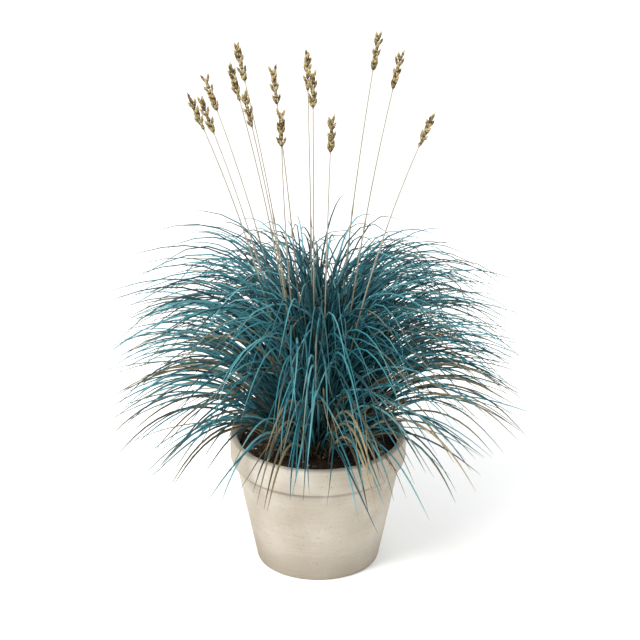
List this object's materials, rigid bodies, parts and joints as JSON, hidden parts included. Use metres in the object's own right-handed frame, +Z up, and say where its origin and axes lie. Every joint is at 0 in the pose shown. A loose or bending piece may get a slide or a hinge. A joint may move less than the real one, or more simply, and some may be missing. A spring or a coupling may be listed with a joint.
{
  "type": "potted blue fescue",
  "caption": "Potted blue fescue: a dome of fine arching blue-green grass blades with straw-coloured flower stalks above it, in a plain tapered clay pot with a rim band.",
  "frame": {"origin": "middle of the pot's flat underside, on the surface that the pot stands on", "axes": "+Z up along the pot's axis, -Y towards the front"},
  "size_m": [0.4248, 0.4255, 0.5304],
  "materials": {
    "clay": "matte",
    "soil": "matte",
    "blue_leaf": "satin",
    "dead_leaf": "matte",
    "straw": "matte",
    "husk": "matte"
  },
  "bodies": {
    "root": {"pot": "clay", "soil": "soil", "heart_tuft": "blue_leaf", "tuft_01": "blue_leaf", "tuft_02": "blue_leaf", "tuft_03": "blue_leaf", "tuft_04": "blue_leaf", "tuft_05": "blue_leaf", "tuft_06": "blue_leaf", "tuft_07": "blue_leaf", "tuft_08": "blue_leaf", "tuft_09": "blue_leaf", "tuft_10": "blue_leaf", "tuft_11": "blue_leaf", "tuft_12": "blue_leaf", "dead_spray_01": "dead_leaf", "dead_spray_02": "dead_leaf", "dead_spray_03": "dead_leaf", "dead_spray_04": "dead_leaf", "dead_spray_05": "dead_leaf", "dead_spray_06": "dead_leaf", "dead_spray_07": "dead_leaf", "dead_spray_08": "dead_leaf", "dead_spray_09": "dead_leaf", "dead_spray_10": "dead_leaf", "dead_spray_11": "dead_leaf", "dead_spray_12": "dead_leaf", "stalk_01": "straw", "stalk_02": "straw", "stalk_03": "straw", "stalk_04": "straw", "stalk_05": "straw", "stalk_06": "straw", "stalk_07": "straw", "stalk_08": "straw", "stalk_09": "straw", "stalk_10": "straw", "stalk_11": "straw", "stalk_12": "straw", "stalk_13": "straw", "stalk_14": "straw", "flower_head_01": "husk", "flower_head_02": "husk", "flower_head_03": "husk", "flower_head_04": "husk", "flower_head_05": "husk", "flower_head_06": "husk", "flower_head_07": "husk", "flower_head_08": "husk", "flower_head_09": "husk", "flower_head_10": "husk", "flower_head_11": "husk", "flower_head_12": "husk", "flower_head_13": "husk", "flower_head_14": "husk"}
  },
  "joints": []
}
